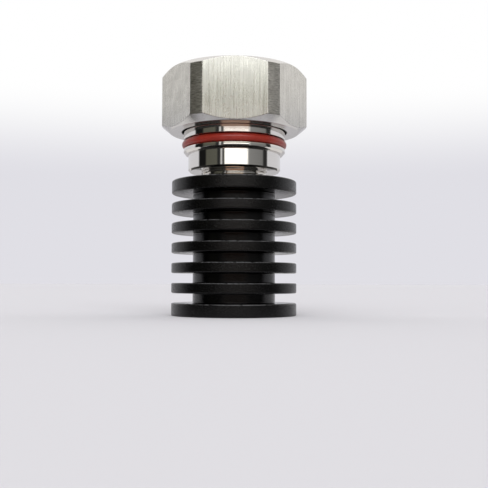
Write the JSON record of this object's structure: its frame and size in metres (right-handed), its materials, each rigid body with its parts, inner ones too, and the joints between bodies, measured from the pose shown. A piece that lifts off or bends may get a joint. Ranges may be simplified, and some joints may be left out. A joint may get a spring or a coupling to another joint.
{
  "type": "coaxial terminator",
  "caption": "Coaxial load with a hexagonal coupling nut, a plated connector body with a red seal ring, and a black round finned heat sink.",
  "frame": {"origin": "centre of the heat sink's flat end, which the part stands on", "axes": "+Z along the connector's axis, from the heat sink to the mating end; one flat of the nut faces -Y"},
  "size_m": [0.035, 0.0318, 0.0586],
  "materials": {
    "black_anodised_aluminium": "satin black anodised, finely turned",
    "polished_nickel": "polished nickel plate",
    "contact_plate": "bright white-bronze plate",
    "white_ptfe": "turned white fluoropolymer",
    "silver_plate": "silver plate",
    "spring_bronze": "spring bronze, thin gold flash",
    "resistor_ceramic": "resistive film on ceramic",
    "red_silicone": "smooth red silicone",
    "spring_steel": "oiled spring steel",
    "brushed_steel": "turned corners and brushed flats"
  },
  "bodies": {
    "terminator": {"heat_sink": "black_anodised_aluminium", "connector_body": "polished_nickel", "outer_contact": "contact_plate", "insulator_bead": "white_ptfe", "center_pin": "silver_plate", "pin_socket": "spring_bronze", "front_end_cap": "silver_plate", "resistor_rod": "resistor_ceramic", "rear_end_cap": "silver_plate", "matching_sleeve": "contact_plate", "ground_collet": "spring_bronze", "seal_ring": "red_silicone", "face_gasket": "red_silicone"},
    "ring": {"retaining_ring": "spring_steel"},
    "nut": {"coupling_nut": "brushed_steel"}
  },
  "joints": [
    {"name": "nut_slide", "type": "slide", "parent": "terminator", "child": "ring", "axis": [0, 0, -1], "range_m": [0, 0.0026]},
    {"name": "nut_spin", "type": "hinge", "parent": "ring", "child": "nut", "pos_m": [0, 0, 0.0515], "axis": [0, 0, 1], "continuous": true}
  ]
}
